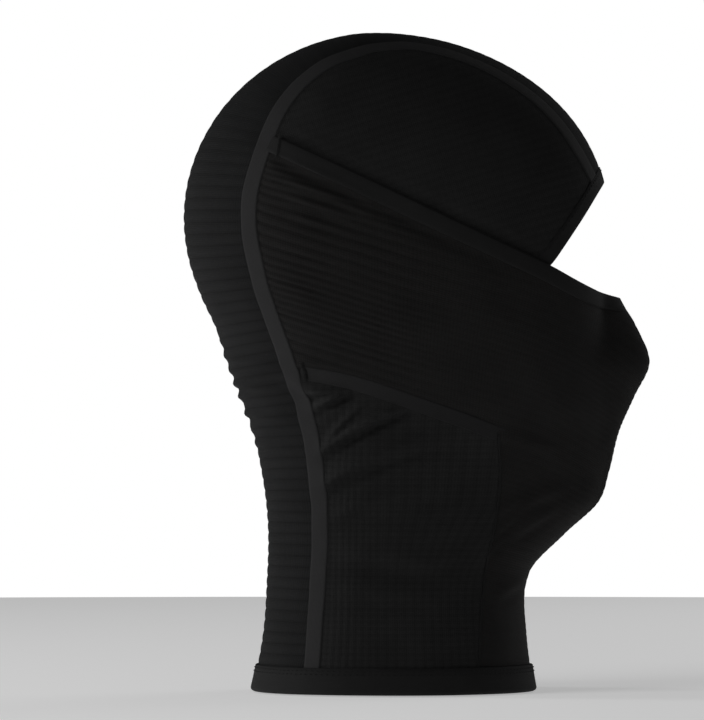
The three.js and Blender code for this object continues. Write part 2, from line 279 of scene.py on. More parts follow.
def soft_noise(front, up, scale, seed):
    """Smooth unevenness between -1 and 1, about scale millimetres across, the same every run."""
    rng = np.random.default_rng(seed)
    total = np.zeros(np.broadcast(front, up).shape)
    for _ in range(7):
        angle, phase, size = rng.uniform(0, math.pi), rng.uniform(0, 2 * math.pi), rng.uniform(0.7, 1.5)
        wave = (front * math.cos(angle) + up * math.sin(angle)) * 2 * math.pi / (scale * size)
        total += np.sin(wave + phase)
    return total / 7 * 1.6


def crease(front, up, start, angle, length, width, height):
    """One fold: a ridge from start, at an angle above the horizontal, steeper on its lower side."""
    a = math.radians(angle)
    along = (front - start[0]) * math.cos(a) + (up - start[1]) * math.sin(a)
    across = (up - start[1]) * math.cos(a) - (front - start[0]) * math.sin(a)
    bend = 0.003 * (along - length / 2) ** 2 - 0.003 * (length / 2) ** 2
    d = (across + bend) / width
    d = np.where(d < 0, d * 1.7, d)
    fade = np.clip(along / (0.35 * length), 0, 1) * np.clip((length - along) / (0.55 * length), 0, 1)
    fade = ease(fade, 0, 1)
    return height * fade * (np.exp(-d * d) - 0.5 * np.exp(-((d + 2.2) ** 2)))


# Folds under the jaw, each a start, an angle, a length, a width and a height.
JAW_FOLDS = [
    ((-43, -41.5), 10, 46, 2.2, 2.8),
    ((-44, -51), 23, 62, 2.6, 3.6),
    ((-33, -63), 44, 34, 1.8, 1.4),
    ((-44, -74), 26, 86, 3.2, 3.6),
    ((-44, -88), 21, 84, 4.0, 3.0),
    ((-34, -96), 12, 66, 4.6, 1.4),
    ((-6, -66), 19, 34, 2.8, 0.7),
    ((-36, -96), 4, 58, 5.0, 1.0),
    ((-30, -112), -8, 60, 5.5, 1.1),
    ((-34, -130), -4, 64, 5.0, 0.8),
    ((4, -120), 16, 34, 4.0, 0.8),
    ((6, -101), 24, 32, 3.2, 0.6),
]
CHIN_FOLDS = [
    ((35, -120), 50, 24, 2.2, 1.0),
    ((37, -110), 40, 26, 2.0, 1.1),
    ((39, -99), 34, 26, 2.2, 0.9),
    ((50, -106), 30, 32, 3.0, 0.9),
    ((50, -94), 22, 34, 3.0, 0.7),
    ((43, -132), 24, 24, 3.4, 0.9),
]


def folds(front, up, side):
    """Height of the worn cloth's folds above the head form, in millimetres."""
    seed = 11 if side < 0 else 23
    rng = np.random.default_rng(seed)
    h = 0.35 * soft_noise(front, up, 60, seed) + 0.1 * soft_noise(front, up, 20, seed + 1)
    # the ear under the mask
    h = h + 1.3 * np.exp(-(((front + 1) / 14) ** 2) - ((up - 1) / 22) ** 2)
    h = h - 0.8 * np.exp(-(((front - 24) / 10) ** 2) - ((up + 2) / 20) ** 2)
    below_jaw, _ = from_line(front, up, jaw_line)
    slack = np.clip((-below_jaw - 2.2) / 4.5, 0, 1)
    slack = np.where(front > 46, np.clip((-60 - up) / 20, 0, 1), slack)
    gathered = np.zeros_like(h)
    for start, angle, length, width, height in JAW_FOLDS + CHIN_FOLDS:
        tilt, more = (0, 1) if side < 0 else (rng.uniform(-4, 4), rng.uniform(0.7, 1.1))
        gathered = gathered + crease(front, up, start, angle + tilt, length, width, height * more)
    for line, hold in ((crown_line, 0.65), (chin_line, 0.7)):      # a seam holds the cloth flatter
        away, _ = from_line(front, up, line)
        gathered = gathered * (1 - hold * np.exp(-((away / 6) ** 2)))
    h = h + gathered * slack
    # the mask's pull from the upper bar tack
    for i in range(4):
        h = h + crease(front, up, (-56 + 2 * i, 64 - 8 * i), -25 + 2.5 * i, 60 - 8 * i, 2.4, 1.0)
    # the seam that goes on in front of the jaw tape
    away, _ = from_line(front, up, ridge_line)
    h = h + 0.8 * np.exp(-((away / 2.8) ** 2))
    # the crown tape's pinch where the head tilts back on the neck
    h = h + 1.5 * np.exp(-(((front + 41) / 8) ** 2) - ((up + 36 + 0.3 * (front + 41)) / 3.4) ** 2)
    return h - 1.1 * np.exp(-(((front + 43) / 8) ** 2) - ((up + 45) / 3.6) ** 2)


def nape_folds(up, x):
    """Creases that run across the gore at the nape, where the head tilts back on the neck."""
    h = np.zeros(np.broadcast(up, x).shape)
    for i in range(8):
        middle = -16 - 6.6 * i + 0.7 * math.sin(5.0 * i)
        height = 1.2 * math.sin(math.pi * (i + 1) / 9)
        d = (up - middle - (0.05 if i % 2 else -0.03) * x) / 1.8
        h = h + height * (np.exp(-d * d) - 0.4 * np.exp(-((d + 1.6) ** 2)))
    return h


def worn_height(front, up, x):
    """All folds at a place on the cloth, easing from one side's to the other's over the middle."""
    share = ease(x, -20, 20)
    h = folds(front, up, -1) * (1 - share) + folds(front, up, 1) * share
    rear = 1 / (1 + np.exp((front + 34) / 5))
    near_middle = 1 - np.exp(-((x / 16) ** 2)) * np.where(front > 0, 0.75, 0.35)
    away, _ = from_line(front, up, crown_line)
    held = 1 - 0.75 * np.exp(-((away / 6) ** 2))
    return h * near_middle + nape_folds(up, x) * rear * held


# ---- Grids on the head form ----

HEAD_MIDDLE = 2.0      # a place well inside the head, as a distance to the front
EAR_LINE = -8.0        # where a row is counted as halfway from face to back
HALVINGS = 40          # steps of a search between two bounds


def grid_quads(rows, columns):
    i = np.arange(rows * columns).reshape(rows, columns)
    return np.stack([i[:-1, :-1], i[:-1, 1:], i[1:, 1:], i[1:, :-1]], axis=-1).reshape(-1, 4)


def facing_out(grid):
    """The outward direction at each place of a grid on the head form, and quads that face outwards."""
    out = np.cross(np.gradient(grid, axis=0), np.gradient(grid, axis=1))
    out /= np.maximum(np.linalg.norm(out, axis=-1, keepdims=True), 1e-9)
    quads = grid_quads(*grid.shape[:2])
    from_middle = grid * (1, 1, 0) - (0, HEAD_MIDDLE, 0)
    if (from_middle * out).sum() < 0:
        return -out, quads[:, ::-1]
    return out, quads


def tilted_loft(lows, highs, row_step, slope, columns, bow=0.0):
    """A grid of rows over the whole head. A row's height falls to the front by slope, and bows down
    over the face by bow. Returns places (x, front, up) and the rows' own heights."""
    rows = np.arange(lows, highs, row_step)[:, None]

    def height(front):
        return rows - slope * front - bow * np.maximum(front - 55, 0) ** 2

    def end(sign, reach):
        lo, hi = np.zeros_like(rows), np.full_like(rows, 150.0) * sign
        for _ in range(HALVINGS):
            mid = (lo + hi) / 2
            out = (mid * sign) > reach(height(mid)) * sign
            hi = np.where(out, mid, hi)
            lo = np.where(out, lo, mid)
        return lo

    far, near = end(1, reach_front), end(-1, reach_back)
    angle = np.linspace(-math.pi, math.pi, columns + 1)[None, :]
    swing = np.cos(angle)                     # 1 at the front, -1 at the back
    front = EAR_LINE + np.where(swing > 0, swing * (far - EAR_LINE), swing * (EAR_LINE - near))
    up = height(front)
    x = np.sign(np.sin(angle)) * half_width(front, up)
    x[:, 0] = x[:, -1] = 0
    return np.stack([x, front, up], axis=-1), rows


def gore_strip(row_step, columns):
    """A grid for the centre gore: rows run across it, from the forehead over the crown to the hem."""
    seam = resampled(curve_through(CROWN_SEAM, 2), row_step)
    tangent = smoothed(np.gradient(seam, axis=0), 41)
    tangent /= np.linalg.norm(tangent, axis=1, keepdims=True)
    rise = np.arctan2(-tangent[:, 0], -tangent[:, 1])
    rise = rise * (0.35 + 0.65 * ease(np.abs(rise), 0.15, 0.95))      # level rows at the back
    out = np.stack([-np.cos(rise), np.sin(rise)], axis=1)
    lo, hi = np.zeros(len(seam)), np.full(len(seam), 60.0)
    for _ in range(HALVINGS):      # the rim of the head beyond each seam point
        mid = (lo + hi) / 2
        there = seam + out * mid[:, None]
        is_out = half_width(there[:, 0], there[:, 1]) < 0.02
        hi, lo = np.where(is_out, mid, hi), np.where(is_out, lo, mid)
    rim = lo[:, None]
    width = half_width(seam[:, 0], seam[:, 1])[:, None]
    across = np.linspace(-1, 1, columns + 1)[None, :]
    x = across * width
    lo, hi = np.zeros(x.shape), np.broadcast_to(rim, x.shape).copy()
    for _ in range(HALVINGS):
        mid = (lo + hi) / 2
        front = seam[:, :1] + out[:, :1] * mid
        up = seam[:, 1:] + out[:, 1:] * mid
        wide = half_width(front, up) > np.abs(x)
        lo, hi = np.where(wide, mid, lo), np.where(wide, hi, mid)
    grid = np.stack([x, front, up], axis=-1)
    along = np.arange(len(seam))[:, None] * row_step
    return grid, along


def to_world(places):
    """(x, front, up) in design millimetres to metres in the frame."""
    return np.stack([places[..., 0], -places[..., 1], places[..., 2]], axis=-1) * UNIT


# ---- Meshes ----

NO_SLIVER = 0.05       # a point this near a cut stays on, so that no thin slivers are left


def new_piece(name, points, faces):
    mesh = bpy.data.meshes.new(name)
    mesh.from_pydata([tuple(p) for p in points], [], faces)
    mesh.validate()
    mesh.shade_smooth()
    piece = bpy.data.objects.new(name, mesh)
    bpy.context.scene.collection.objects.link(piece)
    return piece


def add_weave(piece, weave):
    """Stores each point's place along and across the knit, in millimetres, as the map "weave"."""
    layer = piece.data.uv_layers.new(name="weave")
    index = np.zeros(len(piece.data.loops), int)
    piece.data.loops.foreach_get("vertex_index", index)
    layer.data.foreach_set("uv", np.asarray(weave, float)[index].astype(np.float32).ravel())


def clip_faces(values, keep, quads):
    """Cuts quads along keep = 0. values holds a row for each point and is extended by the cut's
    points. Returns the values and the faces that are left."""
    keep = np.where(np.abs(keep) < NO_SLIVER, NO_SLIVER, keep)
    inside = keep[quads] > 0
    faces = [tuple(q) for q in quads[inside.all(axis=1)]]
    extra, at_edge = [], {}

    def cut_point(i, j):
        key = (min(i, j), max(i, j))
        if key not in at_edge:
            a, b = key
            t = keep[a] / (keep[a] - keep[b])
            at_edge[key] = len(values) + len(extra)
            extra.append(values[a] * (1 - t) + values[b] * t)
        return at_edge[key]

    for quad in quads[inside.any(axis=1) & ~inside.all(axis=1)]:
        face = []
        for i, j in zip(quad, np.roll(quad, -1)):
            if keep[i] > 0:
                face.append(int(i))
            if (keep[i] > 0) != (keep[j] > 0):
                face.append(cut_point(int(i), int(j)))
        if len(face) > 2:
            faces.append(tuple(face))
    values = np.vstack([values] + ([np.array(extra)] if extra else []))
    used = np.unique(np.concatenate([np.array(f) for f in faces]))
    renumber = np.full(len(values), -1)
    renumber[used] = np.arange(len(used))
    return values[used], [tuple(int(renumber[i]) for i in f) for f in faces]


def rounded_middle(grid, reach, window):
    """The grid with any crease along the wearer's middle rounded off."""
    soft = np.swapaxes(smoothed(np.swapaxes(grid, 0, 1), window), 0, 1)
    share = np.exp(-((grid[..., :1] / reach) ** 2)) * (grid[..., 1:2] > 0)
    return grid * (1 - share) + soft * share


def made_thick(piece):
    """Gives a sheet the knit's thickness, inwards, and keeps the result as the piece's own mesh."""
    wall = piece.modifiers.new("thickness", "SOLIDIFY")
    wall.thickness = CLOTH * UNIT
    wall.offset = -1
    shaped = piece.evaluated_get(bpy.context.evaluated_depsgraph_get())
    mesh = bpy.data.meshes.new_from_object(shaped)
    piece.modifiers.clear()
    old, piece.data = piece.data, mesh
    bpy.data.meshes.remove(old)
    mesh.name = piece.name
    return piece


def panel(name, grid, keep, height, weave):
    """A panel of knit: the grid's places moved out by height, cut along keep = 0, and made thick."""
    x, front, up = np.moveaxis(grid, -1, 0)
    out, quads = facing_out(grid)
    out = smoothed(out, 3)
    out /= np.linalg.norm(out, axis=-1, keepdims=True)
    total = worn_height(front, up, x) + height
    places = grid + out * total[..., None]
    values = np.concatenate([to_world(places), weave], axis=-1).reshape(-1, 5)
    values, faces = clip_faces(values, keep.ravel(), quads)
    piece = new_piece(name, values[:, :3], faces)
    add_weave(piece, values[:, 3:])
    return made_thick(piece)


def rib(phase, sharpness):
    """A row of rounded ribs with narrow grooves between them, from 0 in a groove to 1 on a rib."""
    return np.abs(np.sin(math.pi * phase)) ** sharpness


# ---- Panels ----

RIB_PITCH = 3.5
GRID_PITCH = 3.7
NECK_PITCH = (3.9, 2.9)
GORE_PITCH = 5.0
ROWS_PER_RIB = 5
GORE_CROSS = 3.6           # spacing of the faint lines that run along the gore
MASK_COLUMN, NECK_COLUMN = 1.35, 0.93      # about how wide a column of these grids is, on the cloth
TEMPLE_CROSS = 3.1         # spacing of the temple grid's lines the other way
TEMPLE_TILT = math.radians(17)     # how much the temple's rows rise to the front
MASK_TILT = math.radians(16.5)     # how much the mask's ribs fall to the front
RIBS_SET_IN = (175, 235)   # the gore's ribs are pulled flat over the crown and set in along here
UNDER_TAPE = 4.6


def near_seams(front, up, lines):
    """How far each place is from the nearest of the seams."""
    return np.min([np.abs(from_line(front, up, line)[0]) for line in lines], axis=0)


def flat_under_tape(height, seam):
    """The relief of a panel, pressed flat where a tape covers its edge, and the edge a little lower."""
    return height * ease(seam, 2, UNDER_TAPE + 1) - 0.1 * (1 - ease(seam, 0, 6))


def one_side(grid, side):
    """The half of a grid that lies on one side of the wearer's middle."""
    middle = grid.shape[1] // 2
    return grid[:, middle:] if side > 0 else grid[:, :middle + 1]


def gore_panel():
    grid, along = gore_strip(GORE_PITCH / ROWS_PER_RIB, 96)
    x, front, up = np.moveaxis(grid, -1, 0)
    width = np.abs(x).max(axis=1, keepdims=True)
    to_edge = width - np.abs(x)
    phase = along / GORE_PITCH + 0.06 * soft_noise(x, along + 0 * x, 60, 5)
    cross = rib(x / GORE_CROSS + 0 * phase, 0.8)
    depth = 0.1 + 0.28 * ease(along, *RIBS_SET_IN)
    height = depth * (rib(phase, 0.75) - 0.6) + 0.05 * (cross - 0.6)
    height = height * ease(to_edge, 1.0, UNDER_TAPE + 1) - 0.1 * (1 - ease(to_edge, 0, 6))
    keep = np.minimum(up - PANEL_END, -inside_by(front, up, EYE_OUTLINE) - 0.8)
    weave = np.stack([x, phase * GORE_PITCH], axis=-1)
    return panel("centre_gore", grid, keep, height, weave)


def temple_panel(side, name):
    grid, rows = tilted_loft(-20, 125, GRID_PITCH / ROWS_PER_RIB, -math.tan(TEMPLE_TILT), 900)
    grid = one_side(grid, side)
    x, front, up = np.moveaxis(grid, -1, 0)
    above, _ = from_line(front, up, top_line)
    outline = np.vstack([crown_over_mask, [rear_top + (-1, -16)], [(62, 1)], [(71, 17)], [(93, 28)]])
    keep = np.minimum(inside_by(front, up, outline), -inside_by(front, up, EYE_OUTLINE) - 0.8)
    keep = np.minimum(keep, 14 + above)
    keep = np.where(np.sign(x) == side, keep, -1)
    across = rows * math.cos(TEMPLE_TILT) + 0 * x
    along = (front + 0.3 * up) * side
    seam = near_seams(front, up, [crown_line])
    height = 0.2 * rib(across / GRID_PITCH, 0.8) + 0.05 * rib(along / TEMPLE_CROSS, 0.9) - 0.12
    height = flat_under_tape(height, seam)
    sunk = 1.3 * (1 - ease(above, 0.5, 7)) + 0.7 * (1 - ease(above, -10, 0))
    height = height - sunk * ease(seam, 3, 14)
    weave = np.stack([along, across], axis=-1)
    return panel(name, grid, keep, height, weave)


def mask_panel():
    grid, rows = tilted_loft(-178, 102, RIB_PITCH / ROWS_PER_RIB, math.tan(MASK_TILT), 300, bow=0.0045)
    grid = rounded_middle(grid, 9, 13)
    x, front, up = np.moveaxis(grid, -1, 0)
    above, _ = from_line(front, up, top_line)
    outline = np.vstack([
        [rear_top], crown_by_cheek, jaw_line, chin_line[1:], [(150, -195)], [(150, 1)],
        top_line[top_line[:, 0] > 0][::-1][1:],
    ])
    tucked = 6.4 - 2.4 * ease(front, 86, 98)
    keep = np.minimum(inside_by(front, up, outline), -above - tucked)
    keep = np.minimum(keep, up - PANEL_END)
    across = rows * math.cos(MASK_TILT) + 0 * x
    along = np.arange(grid.shape[1])[None, :] * MASK_COLUMN + 0 * x
    seam = near_seams(front, up, [crown_line, jaw_line])
    chin = near_seams(front, up, [chin_line])
    bunching = 0.7 * np.sin(across * 2 * math.pi / 58 + 1.2) + 0.12 * soft_noise(front, up, 70, 3)
    phase = across / RIB_PITCH + bunching
    strength = (0.85 + 0.3 * soft_noise(front, up, 45, 9)) * (1.15 - 0.93 * ease(front, -12, 24))
    height = (0.95 * rib(phase, 0.5) - 0.6) * strength
    height = flat_under_tape(height * ease(chin, 0, 3) * ease(-above, 7, 12), seam)
    height = height + 1.0 * ease(above, -26, -8) * ease(seam, 1, 12)
    hollow = np.exp(-(((above + 10) / 3.0) ** 2)) * (1 - ease(front, 0, 60))
    height = height - 1.8 * hollow * ease(seam, 3, 12)
    weave = np.stack([along, phase * RIB_PITCH], axis=-1)
    return panel("face_mask", grid, keep, height, weave)


def neck_panel(side, name):
    grid, rows = tilted_loft(-176, -22, NECK_PITCH[1] / 4, 0.0, 420)
    grid = one_side(grid, side)
    x, front, up = np.moveaxis(grid, -1, 0)
    outline = np.vstack([chin_line[::-1], jaw_line[::-1][1:], crown_by_neck])
    keep = np.minimum(inside_by(front, up, outline), up - PANEL_END)
    keep = np.where(np.sign(x) == side, keep, -1)
    around = np.arange(grid.shape[1])[None, :] * NECK_COLUMN + 0 * x
    seam = near_seams(front, up, [crown_line, jaw_line])
    chin = near_seams(front, up, [chin_line])
    height = 0.24 * rib(around / NECK_PITCH[0], 0.8) + 0.24 * rib(up / NECK_PITCH[1], 0.8) - 0.3
    height = flat_under_tape(height * ease(chin, 0, 3), seam)
    weave = np.stack([around * side, up], axis=-1)
    return panel(name, grid, keep, height, weave)


# ---- Strips laid on the cloth ----

def base_surface():
    """The whole hood's smooth outer surface with its folds, in millimetres, for laying strips on."""
    grid, _ = tilted_loft(-190, 123.4, 1.8, 0.0, 260)
    x, front, up = np.moveaxis(grid, -1, 0)
    out, quads = facing_out(grid)
    quads = np.roll(quads, -1, axis=1)         # a quad is split in two from its first corner
    places = grid + out * worn_height(front, up, x)[..., None]
    points = (to_world(places) / UNIT).reshape(-1, 3)
    return BVHTree.FromPolygons([tuple(p) for p in points], [tuple(map(int, q)) for q in quads])


base_tree = base_surface()


def nearest(points):
    """The nearest places on the hood's surface to some points, and the outward directions there."""
    places, normals = np.empty(points.shape), np.empty(points.shape)
    for i in np.ndindex(points.shape[:-1]):
        places[i], normals[i], _, _ = base_tree.find_nearest(Vector(points[i]))
    return places, normals


def on_side(line, side):
    """A line of (front, up) places on one side of the head, as points in millimetres."""
    x = half_width(line[:, 0], line[:, 1]) * side
    return np.stack([x, -line[:, 0], line[:, 1]], axis=1)


def over_middle(line):
    """A line that runs off the front of the side view, taken over the middle to the other side.
    It goes from the wearer's left to the right, with its points 1.5 mm apart."""
    fine = resampled(line, 0.1)
    off = np.argmax(half_width(fine[:, 0], fine[:, 1]) <= 0)
    fine = fine[:off + 1]
    places = np.linspace(1, 0, 400) ** 2 * (len(fine) - 1)
    at = len(fine) - 1 - places
    left = np.stack([np.interp(at, np.arange(len(fine)), fine[:, k]) for k in range(2)], axis=1)
    left = on_side(left, 1)
    left[-1, 0] = 0
    right = left[-2::-1] * (-1, 1, 1)
    return resampled(np.vstack([left, right]), 1.5)


def swept(name, line, profile, closed=False, lift=None, window=3, wobble=0.0):
    """A strip laid along a line of points on the hood. Its profile is a closed loop of
    (across, height) places in millimetres. lift raises it by a height at each point, and wobble
    is how far its width wanders, as a share."""
    profile = np.array(profile, float)
    if closed:
        forward = np.roll(line, -1, axis=0) - np.roll(line, 1, axis=0)
    else:
        forward = np.gradient(line, axis=0)
    centres, normals = nearest(line)
    normals = smoothed(normals, 7, closed)
    across = np.cross(normals, forward)
    across /= np.linalg.norm(across, axis=1, keepdims=True)
    at = np.arange(len(line))[:, None, None]
    wide = 1 + wobble * soft_noise(at + 40 * np.sign(profile[:, :1]), 0 * at, 9, 7)
    points = centres[:, None] + across[:, None] * profile[:, :1] * wide
    places, outward = nearest(points)
    outward = smoothed(outward, 7, closed)
    outward /= np.linalg.norm(outward, axis=-1, keepdims=True)
    height = profile[None, :, 1:] + (0 if lift is None else np.asarray(lift)[:, None, None])
    points = smoothed(places + outward * height, window, closed)
    count, around = len(line), len(profile)
    i = np.arange(count * around).reshape(count, around)
    stations = np.arange(count if closed else count - 1)
    faces = []
    for a in stations:
        b = (a + 1) % count
        for j in range(around):
            k = (j + 1) % around
            faces.append((int(i[a, j]), int(i[a, k]), int(i[b, k]), int(i[b, j])))
    if not closed:
        faces.append(tuple(int(v) for v in i[0][::-1]))
        faces.append(tuple(int(v) for v in i[-1]))
    along = distance_along(line)[:, None]
    edge = distance_along(profile)[None, :]
    weave = np.stack(np.broadcast_arrays(along, edge), axis=-1).reshape(-1, 2)
    return strip_piece(name, points.reshape(-1, 3), faces, weave)


def strip_piece(name, points, faces, weave):
    """A closed piece from points in millimetres, with its faces turned outwards."""
    points = points * UNIT
    volume = 0.0
    for face in faces:
        a, b, c = (points[face[k]] for k in (0, 1, 2))
        volume += np.dot(a, np.cross(b, c))
        if len(face) == 4:
            volume += np.dot(a, np.cross(c, points[face[3]]))
    if volume < 0:
        faces = [tuple(reversed(f)) for f in faces]
    piece = new_piece(name, points, faces)
    add_weave(piece, weave)
    return piece


def tape_profile(width, bottom, top, columns=8):
    """A flat tape with rounded edges."""
    half = width / 2
    upper = [(half * (1 - 2 * k / columns), top) for k in range(columns + 1)]
    upper[0], upper[-1] = (half - 0.35, top), (0.35 - half, top)
    return upper + [(-half, top - 0.35), (-half, bottom), (0, bottom), (half, bottom), (half, top - 0.35)]


def folded_profile(depth, inner, outer, thickness, way=1):
    """A strip folded over an edge at across = 0, with both legs running way * depth across."""
    inside, outside = inner + thickness, outer - thickness
    bend = (outer - inner) / 2
    middle = (outer + inner) / 2
    loop = [(depth, outside), (depth, outer - 0.25), (depth - 0.25, outer)]
    loop += [(depth * f, outer) for f in (0.8, 0.6, 0.4)]
    for k in range(7):
        a = math.pi / 2 + math.pi * k / 6
        loop.append((bend * 0.9 + bend * 0.9 * math.cos(a), middle + bend * math.sin(a)))
    loop += [(depth * f, inner) for f in (0.4, 0.7)]
    loop += [(depth - 0.8, inner), (depth - 0.8, inside), (depth * 0.6, inside), (bend * 1.4, inside)]
    loop += [(bend, middle), (bend * 1.4, outside), (depth * 0.6, outside)]
    return [(a * way, h) for a, h in loop]


def threads(name, runs, radius):
    """Small stitches of thread, each from one point to another on the hood, all in one piece."""
    starts, ends, heights = (np.array(part) for part in zip(*runs))
    steps = np.array([0, 0.22, 0.5, 0.78, 1])
    swell = np.array([0.15, 0.85, 1, 0.85, 0.15]) * radius
    raised = np.array([-0.25, 0.1, 0.22, 0.1, -0.25])
    around = 6
    points, faces = [], []
    line = starts[:, None] * (1 - steps[None, :, None]) + ends[:, None] * steps[None, :, None]
    places, outward = nearest(line)
    centres = places + outward * (heights[:, None] + raised[None, :])[..., None]
    for row, normal in zip(centres, outward):
        forward = row[-1] - row[0]
        forward /= max(np.linalg.norm(forward), 1e-9)
        first = len(points)
        for spot, n, r in zip(row, normal, swell):
            across = np.cross(n, forward)
            across /= max(np.linalg.norm(across), 1e-9)
            up = np.cross(forward, across)
            for k in range(around):
                a = 2 * math.pi * k / around
                points.append(spot + across * r * math.cos(a) + up * r * math.sin(a))
        for ring in range(len(steps) - 1):
            for k in range(around):
                a, b = first + ring * around + k, first + ring * around + (k + 1) % around
                faces.append((a, b, b + around, a + around))
        faces.append(tuple(first + k for k in range(around))[::-1])
        faces.append(tuple(first + (len(steps) - 1) * around + k for k in range(around)))
    points = np.array(points)
    return strip_piece(name, points, faces, points[:, :2])


def stitch_row(line, offset, height):
    """Stitches along a line of points, set off across it."""
    centres, normals = nearest(line)
    across = np.cross(normals, np.gradient(line, axis=0))
    across /= np.linalg.norm(across, axis=1, keepdims=True)
    fine = 0.2
    row = resampled(centres + across * offset, fine)
    runs = []
    pitch, span = round((STITCH + STITCH_GAP) / fine), round(STITCH / fine)
    for at in range(0, len(row) - span, pitch):
        runs.append((row[at], row[at + span], height))
    return runs


# ---- Materials ----

WALE = 0.92            # the knit's own columns and rows of loops
COURSE = 0.78
CROWN_PAINTED_SHADE = 0.42           # painted shade on the cloth over the crown, where the ribs are pulled flat, as a share of the painted shade in a groove


class Cloth:
    """A node material for one kind of cloth, built from the weave map."""

    def __init__(self, name):
        self.material = bpy.data.materials.new(name)
        self.material.use_nodes = True
        self.tree = self.material.node_tree
        self.shader = self.tree.nodes["Principled BSDF"]
        uv = self.tree.nodes.new("ShaderNodeUVMap")
        uv.uv_map = "weave"
        self.uv = uv.outputs["UV"]
        parts = self.tree.nodes.new("ShaderNodeSeparateXYZ")
        self.tree.links.new(self.uv, parts.inputs[0])
        self.along, self.across = parts.outputs["X"], parts.outputs["Y"]

    def maths(self, operation, a, b=None):
        node = self.tree.nodes.new("ShaderNodeMath")
        node.operation = operation
        for socket, value in zip(node.inputs, (a, b)):
            if isinstance(value, (int, float)):
                socket.default_value = value
            elif value is not None:
                self.tree.links.new(value, socket)
        return node.outputs[0]

    def noise(self, scale, detail=2.0, stretch=(1, 1)):
        mapping = self.tree.nodes.new("ShaderNodeMapping")
        mapping.inputs["Scale"].default_value = (scale * stretch[0], scale * stretch[1], 1)
        self.tree.links.new(self.uv, mapping.inputs["Vector"])
        node = self.tree.nodes.new("ShaderNodeTexNoise")
        node.inputs["Scale"].default_value = 1.0
        node.inputs["Detail"].default_value = detail
        self.tree.links.new(mapping.outputs[0], node.inputs["Vector"])
        return node.outputs["Fac"]

    def ribs(self, value, pitch, sharpness):
        """1 on a rib and 0 in the groove between two."""
        wave = self.maths("SINE", self.maths("MULTIPLY", value, math.pi / pitch))
        return self.maths("POWER", self.maths("ABSOLUTE", wave), sharpness)

    def rise(self, value, low, high):
        """0 up to low and 1 from high on, with a smooth rise between."""
        node = self.tree.nodes.new("ShaderNodeMapRange")
        node.interpolation_type = "SMOOTHSTEP"
        node.inputs["From Min"].default_value = low
        node.inputs["From Max"].default_value = high
        self.tree.links.new(value, node.inputs["Value"])
        return node.outputs["Result"]

    def colour(self, dark, light, factor):
        mix = self.tree.nodes.new("ShaderNodeMix")
        mix.data_type = "RGBA"
        mix.clamp_factor = True
        mix.inputs["A"].default_value = (*dark, 1)
        mix.inputs["B"].default_value = (*light, 1)
        self.tree.links.new(factor, mix.inputs["Factor"])
        self.tree.links.new(mix.outputs["Result"], self.shader.inputs["Base Color"])

    def bump(self, height, strength, distance):
        node = self.tree.nodes.new("ShaderNodeBump")
        node.inputs["Strength"].default_value = strength
        node.inputs["Distance"].default_value = distance
        self.tree.links.new(height, node.inputs["Height"])
        self.tree.links.new(node.outputs[0], self.shader.inputs["Normal"])

    def finish(self, roughness, sheen, specular=0.1):
        self.shader.inputs["Roughness"].default_value = roughness
        self.shader.inputs["Specular IOR Level"].default_value = specular
        self.shader.inputs["Sheen Weight"].default_value = sheen
        self.shader.inputs["Sheen Roughness"].default_value = 0.45
        self.shader.inputs["Sheen Tint"].default_value = (0.5, 0.5, 0.53, 1)
        return self.material


def knit(name, grey, pitches, depth, tint=(1, 1, 1), roundness=0.6, sets_in=None):
    """Stretch knit. pitches are the ribs' spacing along and across the weave, 0 for none, and depth
    is how much shade is painted into each kind of groove. sets_in is the stretch of the weave, across it,
    over which the painted groove shade sets in. Where the cloth is too tight to show the ribs, an even
    painted shade stands in instead."""
    c = Cloth(name)
    blotch = c.noise(0.06, 2)
    grain = c.noise(1.1, 2)
    fibre = c.noise(3.0, 1, (1, 2.2))
    wale = c.ribs(c.along, WALE, 0.7)
    shifted = c.maths("ADD", c.across, c.maths("MULTIPLY", wale, COURSE * 0.35))
    course = c.ribs(shifted, COURSE, 0.7)
    loop = c.maths("MULTIPLY", wale, course)
    factor = c.maths("ADD", c.maths("MULTIPLY", blotch, 0.35), c.maths("MULTIPLY", grain, 0.3))
    factor = c.maths("ADD", factor, c.maths("MULTIPLY", fibre, 0.15))
    factor = c.maths("ADD", factor, c.maths("MULTIPLY", loop, 0.2))
    # Painted shade: each kind of groove between the ribs is darkened in colour by its depth.
    for value, pitch, share in zip((c.along, c.across), pitches, depth):
        if pitch:
            groove = c.maths("SUBTRACT", 1.0, c.ribs(value, pitch, roundness))
            # Painted shade: over the crown, where the ribs are pulled flat, an even darkening stands in for
            # the grooves' shade.
            if sets_in:
                more = c.maths("SUBTRACT", groove, CROWN_PAINTED_SHADE)
                more = c.maths("MULTIPLY", more, c.rise(c.across, *sets_in))
                groove = c.maths("ADD", more, CROWN_PAINTED_SHADE)
            lit = c.maths("SUBTRACT", 1.0, c.maths("MULTIPLY", groove, share))
            factor = c.maths("MULTIPLY", factor, lit)
    dark = [grey * 0.25 * t for t in tint]
    light = [grey * 1.75 * t for t in tint]
    c.colour(dark, light, factor)
    height = c.maths("ADD", loop, c.maths("MULTIPLY", fibre, 0.5))
    c.bump(height, 0.5, 0.00022)
    return c.finish(0.86, 0.015)


